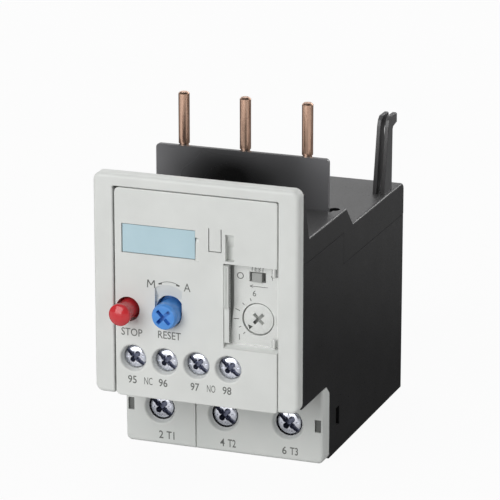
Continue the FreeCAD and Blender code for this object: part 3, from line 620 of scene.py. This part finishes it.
def combination_screw(node, head_deep, shank_radius):
    """Screw with a combination head in place of a CAD screw, which has a body of its own."""
    x, z, front, head = middle_of(node)
    head /= MM
    depth = (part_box(node)[1][1] - front) / MM
    profile = [(0, 0)] + [(head * share, fall) for share, fall in HEAD_CROWN]
    profile += [(head, head_deep)] + shank(shank_radius, head_deep, depth)
    mesh = turned(profile, x, front, z, steps=48)
    recess_radius, recess_deep = head * 0.68, head_deep * 0.6
    slot_long, slot_deep, slot_wide = 2 * head + 1, head_deep * 0.45, head * 0.36
    cutters = [lobed_recess(recess_radius, recess_deep, SLOT_TURN),
               bar(slot_long, slot_deep, slot_wide, SLOT_TURN)]
    for i in range(4):
        between = SLOT_TURN + 45 + 90 * i
        angle = math.radians(between)
        mark = bar(0.6, 0.2, 0.14, between)
        move(mark, Vector((math.cos(angle), 0, -math.sin(angle))) * (head * 0.72 * MM))
        cutters.append(mark)
    mesh = cut(mesh, cutters, (x, front, z))
    # Faces inside the recess get the darker zinc, as painted shade.
    for face in mesh.faces:
        spot = face.calc_center_median()
        off_axis = Vector((spot.x - x, spot.z - z)).length
        if 0.3 * MM < spot.y - front < head_deep * 0.65 * MM and off_axis < (head - 0.1) * MM:
            face.material_index = 1
    soften(mesh, 0.05, least_angle=35, segments=1, before=front + 0.4 * MM)
    settle(mesh)
    piece = make_object(node + "_dressed", mesh)
    dress(piece, zinc, zinc_painted_shade)
    place_piece(piece, node, "plated_steel", node)


# %% The seven screws
for kind, numbers, head_deep, shank_radius in (("aux", (95, 96, 97, 98), 1.7, 1.4),
                                               ("main", (1, 2, 3), 2.4, 1.9)):
    for number in numbers:
        combination_screw(f"{kind}_screw_{number}", head_deep, shank_radius)


# %% [markdown]
# ## Lid grip
# The lid's free edge ends in a grey rib, with a lug for a fingernail at its upper end. The lug
# is a grid of narrow columns, thickened backwards. Every second column of its face is inset and
# pushed in, which leaves ribs between.

# %% Grip
def ribbed_lug(low, high, foot, columns=7):
    """Lug between two corners, from a height up, with every second column of its face inset."""
    deep = 0.9 * MM
    lug = bmesh.new()
    bmesh.ops.create_grid(lug, x_segments=columns, y_segments=1, size=0.5)
    bmesh.ops.scale(lug, verts=lug.verts, vec=(high.x - low.x, high.z - foot, 1))
    swing(lug, math.radians(90), "X")
    thicken(lug, (0, deep, 0))
    bmesh.ops.recalc_face_normals(lug, faces=lug.faces)
    front = sorted((face for face in lug.faces if face.calc_center_median().y < 0.01 * MM
                    and abs(face.normal.y) > 0.9), key=lambda face: face.calc_center_median().x)
    bmesh.ops.inset_individual(lug, faces=front[1::2], thickness=0.03 * MM, depth=-0.2 * MM)
    move(lug, ((low.x + high.x) / 2, low.y, (foot + high.z) / 2))
    settle(lug)
    return lug


def cover_grip():
    """Rib along the lid's free edge, and the lug at its upper end."""
    low, high = (Vector(corner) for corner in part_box("cover_grip"))
    size = Vector((1.15 * MM, 1.1 * MM, high.z - low.z))
    strip = block(size, (low.x + size.x / 2, high.y - size.y / 2, (low.z + high.z) / 2))
    bmesh.ops.bevel(strip, geom=strip.edges[:], offset=0.08 * MM, offset_type="OFFSET",
                    affect="EDGES", segments=2, profile=0.5, material=-1)
    settle(strip)
    join(strip, ribbed_lug(low, high, foot=38.0 * MM))
    piece = make_object("cover_grip_dressed", strip)
    dress(piece, bezel_grey)
    place_piece(piece, "cover", "grey_plastic", "cover_grip")


cover_grip()


# %% [markdown]
# ## Printed marks
# Only plain marks that any such device carries are printed: terminal numbers, what the two
# buttons do, ticks and numbers round the dial. Words are text objects made into meshes, scaled
# to the height of their capitals, stood up and laid just in front of their face. Arrows and
# ticks are thin blocks from point to point. So is the M, because a swelled outline spoils the
# font's own M.

# %% Lettering
INK_THICK = 0.012 * MM
LETTER_EXTRUDE = 0.01


def lettering(mesh, words, x, z, face_y, cap_mm, wide_mm=None, bolder=0.0):
    """Add words to a bmesh: capitals cap_mm high, centred on (x, z) mm, lying on face_y.

    Bolder swells the letters' outlines, in parts of the font's own size.
    """
    curve = bpy.data.curves.new("words", "FONT")
    curve.body = words
    curve.resolution_u = 3
    curve.offset = bolder
    curve.extrude = LETTER_EXTRUDE
    holder = bpy.data.objects.new("words", curve)
    bpy.context.scene.collection.objects.link(holder)
    bpy.context.view_layer.update()
    flat = bpy.data.meshes.new_from_object(holder)
    bpy.data.objects.remove(holder)
    low = [min(v.co[i] for v in flat.vertices) for i in range(3)]
    high = [max(v.co[i] for v in flat.vertices) for i in range(3)]
    tall = cap_mm * MM / (high[1] - low[1])
    broad = wide_mm * MM / (high[0] - low[0]) if wide_mm else tall
    middle = Vector([(a + b) / 2 for a, b in zip(low, high)])
    flat.transform(Matrix.Translation((x * MM, face_y - INK_THICK / 2, z * MM))
                   @ Matrix.Rotation(math.radians(90), 4, "X")
                   @ Matrix.Diagonal((broad, tall, INK_THICK / (2 * LETTER_EXTRUDE), 1))
                   @ Matrix.Translation(-middle))
    mesh.from_mesh(flat)


def stroke(mesh, start, end, face_y, wide_mm):
    """Add a straight printed line between two (x, z) points in mm."""
    a, b = Vector(start), Vector(end)
    run, middle = b - a, (a + b) / 2
    line = block((run.length * MM, INK_THICK, wide_mm * MM))
    swing(line, -math.atan2(run.y, run.x), "Y")
    move(line, (middle.x * MM, face_y - INK_THICK / 2, middle.y * MM))
    join(mesh, line)


def strokes(mesh, points, face_y, wide_mm):
    """Add printed lines from each point to the next."""
    for start, end in zip(points, points[1:]):
        stroke(mesh, start, end, face_y, wide_mm)


def printed(name, mesh):
    """Finish a printed piece, which lies on the fixed housing."""
    bmesh.ops.recalc_face_normals(mesh, faces=mesh.faces)
    piece = make_object(name, mesh)
    dress(piece, grey_ink)
    place_piece(piece, "root", "black_plastic")


# %% Marks on the front panel
panel_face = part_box("front_panel")[0][1]
marks = bmesh.new()
lettering(marks, "STOP", -14.2, 30.2, panel_face, 1.65, 4.7, bolder=0.006)
lettering(marks, "RESET", -5.8, 30.4, panel_face, 1.65, 5.1, bolder=0.006)
letter_m = ((-10.6, 40.35), (-10.5, 42.0), (-9.8, 40.9), (-9.1, 42.0), (-9.0, 40.35))
strokes(marks, letter_m, panel_face, 0.24)
lettering(marks, "A", -1.8, 41.2, panel_face, 1.75, 1.5)
TERMINALS_Z = 19.85
for words, x in (("95", -14.2), ("96", -7.3), ("97", -0.2), ("98", 6.9)):
    lettering(marks, words, x, TERMINALS_Z, panel_face, 1.7, 1.95, bolder=0.012)
for words, x in (("NC", -10.6), ("NO", 3.4)):
    lettering(marks, words, x, TERMINALS_Z, panel_face, 1.6, 1.85)

# %% Double-headed arrow from M to A
ARROW_X, ARROW_TOP, ARROW_RADIUS = -5.8, 42.0, 4.5
ARROW_REACH, ARROW_STEPS = math.radians(31), 8
arrow_centre = ARROW_TOP - ARROW_RADIUS
angles = [ARROW_REACH * (i / ARROW_STEPS - 1) for i in range(2 * ARROW_STEPS + 1)]
arc = [(ARROW_X + ARROW_RADIUS * math.sin(a), arrow_centre + ARROW_RADIUS * math.cos(a))
       for a in angles]
strokes(marks, arc, panel_face, 0.13)
for tip, side in ((arc[0], 1), (arc[-1], -1)):
    stroke(marks, tip, (tip[0] + side * 0.75, tip[1] + 0.1), panel_face, 0.32)
printed("front_panel_marks", marks)

# %% Marks on the setting scale
scale_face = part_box("scale_plate")[0][1]
dial_x, dial_z = (v / MM for v in middle_of("current_dial")[:2])
marks = bmesh.new()
lettering(marks, "TEST", 13.05, 46.35, scale_face, 0.95, 3.2)
for words, x, z, cap_mm in (("O", 9.33, 44.6, 1.45), ("I", 16.3, 44.74, 1.0),
                            ("6", 12.4, 41.1, 1.25), ("1", 9.1, 31.4, 1.25)):
    lettering(marks, words, x, z, scale_face, cap_mm)
TEST_TIP = (11.4, 42.6)
for start, end in (((11.6, 42.6), (15.3, 42.6)), (TEST_TIP, (12.1, 42.9)),
                   (TEST_TIP, (12.1, 42.3))):
    stroke(marks, start, end, scale_face, 0.12)

# %% Ticks round the dial
# Each tick has an angle in degrees, up from the dial's left, and its inner and outer radius.
TICKS = ((-47, 4.15, 4.75), (-27, 4.15, 4.75), (-4, 4.2, 5.4), (20, 4.2, 5.3), (43, 4.1, 4.7),
         (68, 4.1, 4.7))
for angle, inner, outer in TICKS:
    turn = math.radians(180 - angle)
    ends = [(dial_x + r * math.cos(turn), dial_z + r * math.sin(turn)) for r in (inner, outer)]
    stroke(marks, *ends, scale_face, 0.17)
printed("scale_marks", marks)

# %% Marks on the terminal shroud
# The shroud's face leans forward to its top. So the marks are drawn upright on Y = 0, leaned
# about the X axis and then moved to the face's foot.
shroud_low, shroud_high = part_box("terminal_shroud")
LEAN = 0.35 * MM
marks = bmesh.new()
for number, x in ((1, -13.0), (2, 1.05), (3, 15.1)):
    lettering(marks, f"{2 * number}", x - 1.3, 2.2, 0, 1.75, 1.0, bolder=0.012)
    lettering(marks, f"T{number}", x + 0.85, 2.2, 0, 1.75, 1.8, bolder=0.012)
swing(marks, math.atan2(LEAN, shroud_high[2]), "X")
move(marks, (0, shroud_low[1] + LEAN, 0))
printed("shroud_marks", marks)


# %% [markdown]
# ## Button springs
# A coil spring sits between each button's flange and its seat. Each is a copy of the CAD
# spring, in zinc, on the fixed housing.

# %% Springs
def button_spring(node):
    """Copy of a CAD spring with a mesh of its own, on the fixed housing."""
    mesh = bmesh.new()
    mesh.from_mesh(nodes[node].data)
    settle(mesh)
    piece = make_object(node + "_dressed", mesh)
    dress(piece, zinc)
    place_piece(piece, "root", "spring_steel", node)
    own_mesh(piece)


button_spring("stop_spring")
button_spring("reset_spring")


# %% [markdown]
# ## Painted shade behind small openings
# A mid grey block lies a little way in beside the scale plate, and a dark grey one in each of
# the shroud's two clip slots: painted shade for these openings. Each is a thin block that lies
# on the back of its opening.

# %% Painted shade blocks
def painted_shade_block(name, low, high, finish=painted_shade_grey):
    """Thin grey block between two corners in mm: painted shade in an opening."""
    low, high = Vector(low) * MM, Vector(high) * MM
    mesh = block(high - low, (low + high) / 2)
    settle(mesh)
    piece = make_object(name, mesh)
    dress(piece, finish)
    place_piece(piece, "root", "black_plastic")


# %% The three painted shade blocks
plate_face, plate_back = (corner[1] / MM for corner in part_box("scale_plate"))
WINDOW_X, WINDOW_Z, WINDOW_STEP = (6.17, 7.9), (29.95, 47.15), 0.4
# A mid grey block in the gap beside the scale plate: painted shade.
painted_shade_block("window_painted_shade", (WINDOW_X[0], plate_face + WINDOW_STEP, WINDOW_Z[0]),
            (WINDOW_X[1], plate_back, WINDOW_Z[1]), slide_grey)
CLIP_BACK = shroud_low[1] / MM + 0.7
CLIP_HALF_WIDE, CLIP_THICK, CLIP_Z = 0.68, 0.06, (7.12, 9.88)
# Dark grey blocks in the clip slots: painted shade.
for side, x in (("left", -21.1), ("right", 21.3)):
    painted_shade_block(f"clip_painted_shade_{side}", (x - CLIP_HALF_WIDE, CLIP_BACK - CLIP_THICK, CLIP_Z[0]),
                (x + CLIP_HALF_WIDE, CLIP_BACK, CLIP_Z[1]))


# %% [markdown]
# ## Studio
# The floor is pale and sweeps up into a backdrop. A large key light stands at the front left.
# The other four are much weaker, so that the right side stays in shade: one above and one behind
# on the left, one at the right, and a small one behind on the right for the edges. To the camera
# the sweep is almost white, but it still takes a faint shadow. In a mirror the floor shows
# painted light and painted shadow: it glows bright in front, dark beside the object as if in its
# shadow, and fair behind it, so that screws shine and black plastic stays black at a shallow
# angle.

# %% Who sees the white background
def background_share(tree, plain, mirrored):
    """How much of the white glow a ray sees: plain for camera and glass, mirrored for gloss."""
    # A ray through glass counts only until it has met a matt surface.
    path = add(tree, "LightPath")
    clear = add(tree, "Math", {"operation": "LESS_THAN"}, i0=path.outputs["Diffuse Depth"], i1=0.5)
    glass = add(tree, "Math", {"operation": "MULTIPLY"}, i0=path.outputs["Is Transmission Ray"],
                i1=clear.outputs[0])
    seen = add(tree, "Math", {"operation": "MAXIMUM"}, i0=path.outputs["Is Camera Ray"],
               i1=glass.outputs[0])
    direct = add(tree, "Math", {"operation": "MULTIPLY"}, i0=seen.outputs[0], i1=plain)
    gloss = add(tree, "Math", {"operation": "MULTIPLY"}, i0=path.outputs["Is Glossy Ray"],
                i1=mirrored)
    return add(tree, "Math", {"operation": "MAXIMUM"}, i0=direct.outputs[0],
               i1=gloss.outputs[0]).outputs[0]


# %% Floor and backdrop
# How bright a mirrored floor glows, by its Y in metres: painted light and painted shadow on the
# floor, as gloss sees it.
MIRRORED_FLOOR = ((-0.3, 1.0), (-0.22, 1.0), (-0.18, 0.25), (-0.15, 0.25), (-0.12, 0.8),
                  (-0.04, 0.8), (-0.01, 0.06), (0.06, 0.06), (0.16, 0.2), (0.3, 0.22),
                  (0.55, 0.5))
MIRRORED_FROM, MIRRORED_TO = -0.3, 0.7
FLOOR_GAP = 0.05 * MM


def studio_paper():
    """Matt paper that glows white to the camera and, in a mirror, with the painted light and
    shadow of the list above.
    """
    material, tree, out = new_material("matt studio paper")
    place = add(tree, "TexCoord").outputs["Object"]
    fibre = add(tree, "TexNoise", Vector=place, Scale=1 / (40 * MM), Detail=3.0)
    tone = ramp(tree, fibre.outputs["Fac"], [(0.3, linear("#C2C2C2")), (0.7, linear("#C8C8C8"))])
    depth = add(tree, "SeparateXYZ", Vector=place).outputs["Y"]
    run = add(tree, "MapRange", i0=depth, i1=MIRRORED_FROM, i2=MIRRORED_TO)
    lit = ramp(tree, run.outputs[0],
               [((y - MIRRORED_FROM) / (MIRRORED_TO - MIRRORED_FROM), (share, share, share, 1))
                for y, share in MIRRORED_FLOOR])
    paper = add(tree, "BsdfDiffuse", Color=tone)
    path = add(tree, "LightPath")
    loss = add(tree, "Math", {"operation": "SUBTRACT"}, i0=lit, i1=1.0)
    level = add(tree, "Math", {"operation": "MULTIPLY_ADD"}, i0=path.outputs["Is Glossy Ray"],
                i1=loss.outputs[0], i2=1.0)
    glow = add(tree, "Emission", Color=linear("#FFFFFF"), Strength=level.outputs[0])
    mixed = add(tree, "MixShader", i0=background_share(tree, 0.95, 1.0), i1=paper.outputs[0],
                i2=glow.outputs[0])
    tree.links.new(mixed.outputs[0], out.inputs[0])
    return material


def studio_sweep():
    """Floor and backdrop in one smooth sheet, in metres."""
    half_wide, front, bend_from, bend, top = 1.6, -1.0, 0.5, 0.5, 1.6
    mesh = bmesh.new()
    points = [(front, 0.0), (bend_from, 0.0)]
    points += [(bend_from + bend * math.sin(a), bend - bend * math.cos(a))
               for a in (math.radians(d) for d in range(15, 91, 15))]
    points.append((bend_from + bend, top))
    line = [mesh.verts.new((-half_wide, y, z - FLOOR_GAP)) for y, z in points]
    edges = [mesh.edges.new(pair) for pair in zip(line, line[1:])]
    swept = bmesh.ops.extrude_edge_only(mesh, edges=edges)
    moved = [part for part in swept["geom"] if isinstance(part, bmesh.types.BMVert)]
    bmesh.ops.translate(mesh, verts=moved, vec=(2 * half_wide, 0, 0))
    sweep = make_object("studio_sweep", mesh)
    dress(sweep, studio_paper())
    sweep.data.shade_smooth()


studio_sweep()


# %% Lights
def softbox(name, place, aim, size, watts):
    """Square area light that looks at a point.

    Rays that the clear lid has bent don't meet it, because the lid's shadow rays already let the
    light through, and what lies behind the lid would be lit twice.
    """
    light = bpy.data.lights.new(name, "AREA")
    light.shape = "SQUARE"
    light.size = size
    light.energy = watts
    lamp = bpy.data.objects.new(name, light)
    lamp.location = place
    lamp.visible_transmission = False
    lamp.rotation_euler = (Vector(aim) - Vector(place)).to_track_quat("-Z", "Y").to_euler()
    bpy.context.scene.collection.objects.link(lamp)


LIT_POINT = (0, 0, 35 * MM)
for name, place, size, watts in (("key_softbox", (-0.35, -1.05, 0.5), 1.0, 13.2),
                                 ("top_softbox", (-0.35, 0.5, 0.85), 0.7, 3.0),
                                 ("rear_softbox", (-0.6, 0.75, 0.6), 0.6, 2.0),
                                 ("side_softbox", (0.8, 0.1, 0.35), 0.8, 3.2),
                                 ("edge_softbox", (0.35, 0.95, 0.38), 0.35, 2.2)):
    softbox(name, place, LIT_POINT, size, watts)

# %% Air
AIR_LIGHT = 0.05
world = bpy.data.worlds.new("studio air")
bpy.context.scene.world = world
world.use_nodes = True
air = world.node_tree
background = air.nodes["Background"]
background.inputs["Color"].default_value = linear("#FFFFFF")
level = add(air, "MapRange", i0=background_share(air, 1.0, 0.0), i1=0.0, i2=1.0, i3=AIR_LIGHT,
            i4=1.0)
air.links.new(level.outputs[0], background.inputs["Strength"])

# %% Camera
CAMERA_AZIMUTH = math.radians(20.502)
CAMERA_ELEVATION = math.radians(16.758)
CAMERA_DISTANCE = 671.1 * MM
CAMERA_AIM = Vector((4.612, -12.6, 44.41)) * MM
CAMERA_LENS, CAMERA_SENSOR = 230.25, 36
camera_data = bpy.data.cameras.new("camera")
camera_data.lens = CAMERA_LENS
camera_data.sensor_width = CAMERA_SENSOR
camera = bpy.data.objects.new("camera", camera_data)
away = Vector((math.sin(CAMERA_AZIMUTH) * math.cos(CAMERA_ELEVATION),
               -math.cos(CAMERA_AZIMUTH) * math.cos(CAMERA_ELEVATION),
               math.sin(CAMERA_ELEVATION)))
camera.location = CAMERA_AIM + away * CAMERA_DISTANCE
camera.rotation_euler = (-away).to_track_quat("-Z", "Y").to_euler()
bpy.context.scene.collection.objects.link(camera)
bpy.context.scene.camera = camera
bpy.context.scene.view_settings.view_transform = "Standard"
